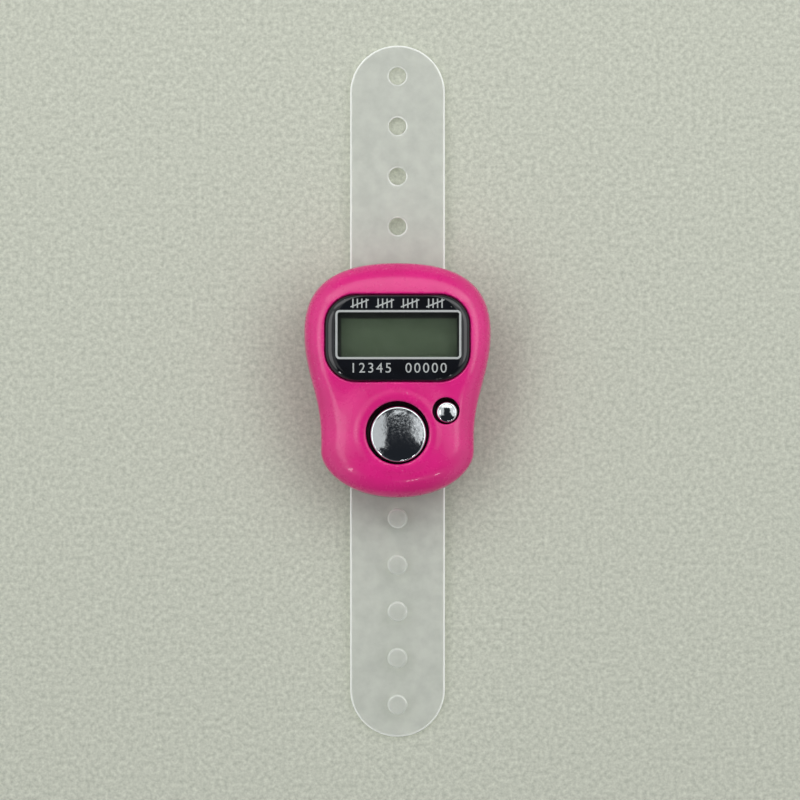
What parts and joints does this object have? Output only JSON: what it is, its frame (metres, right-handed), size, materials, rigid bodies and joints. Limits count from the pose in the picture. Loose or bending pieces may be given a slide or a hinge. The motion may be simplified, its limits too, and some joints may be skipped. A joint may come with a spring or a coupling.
{
  "type": "digital row counter",
  "caption": "Finger tally counter for knitters: pear-shaped moulded housing with a display window, a large count button, a small reset button and a snap strap.",
  "frame": {"origin": "under the middle of the strap, on the surface the counter lies on", "axes": "+X to the right and +Y towards the strap's hole end as seen from above, +Z out of the display"},
  "size_m": [0.0334, 0.124, 0.0149],
  "materials": {
    "pink_abs": "glossy moulded ABS",
    "black_lens": "polished acrylic, printed black on the back",
    "black_tape": "foam tape",
    "lcd_glass": "olive-green display",
    "reflector_film": "satin silver film",
    "zebra_rubber": "striped contact rubber",
    "board_green": "green solder mask",
    "black_epoxy": "cast epoxy",
    "tan_ceramic": "ceramic",
    "nickel_steel": "nickel plated",
    "chrome": "chrome plated",
    "silicone_rubber": "matt silicone",
    "carbon_rubber": "carbon filled",
    "zinc_steel": "zinc plated",
    "clear_elastomer": "frosted, translucent"
  },
  "bodies": {
    "housing": {"front_case": "pink_abs", "back_cover": "pink_abs", "lens_window": "black_lens", "lens_tape": "black_tape", "lcd_panel": "lcd_glass", "lcd_reflector": "reflector_film", "zebra_strip": "zebra_rubber", "circuit_board": "board_green", "chip_blob": "black_epoxy", "chip_resistor": "black_epoxy", "chip_capacitor_1": "tan_ceramic", "chip_capacitor_2": "tan_ceramic", "battery_cell": "nickel_steel", "battery_contact_positive": "nickel_steel", "battery_contact_negative": "nickel_steel", "count_dome": "silicone_rubber", "reset_dome": "silicone_rubber", "case_screw_1": "zinc_steel", "case_screw_2": "zinc_steel", "case_screw_3": "zinc_steel", "case_screw_4": "zinc_steel", "board_screw_1": "zinc_steel", "board_screw_2": "zinc_steel"},
    "count_key": {"count_button": "chrome", "count_pill": "carbon_rubber"},
    "reset_key": {"reset_button": "chrome", "reset_pill": "carbon_rubber"},
    "strap_band": {"strap": "clear_elastomer"}
  },
  "joints": [
    {"name": "count_press", "type": "slide", "parent": "housing", "child": "count_key", "axis": [0, 0, -1], "range_m": [0, 0.0008], "stiffness_N_per_m": 1500, "springref_m": -0.0003, "deforming": ["count_dome"]},
    {"name": "reset_press", "type": "slide", "parent": "housing", "child": "reset_key", "axis": [0, 0, -1], "range_m": [0, 0.0006], "stiffness_N_per_m": 1500, "springref_m": -0.0003, "deforming": ["reset_dome"]},
    {"name": "strap_slide", "type": "slide", "parent": "housing", "child": "strap_band", "axis": [0, 1, 0], "range_m": [-0.012, 0.002]}
  ]
}
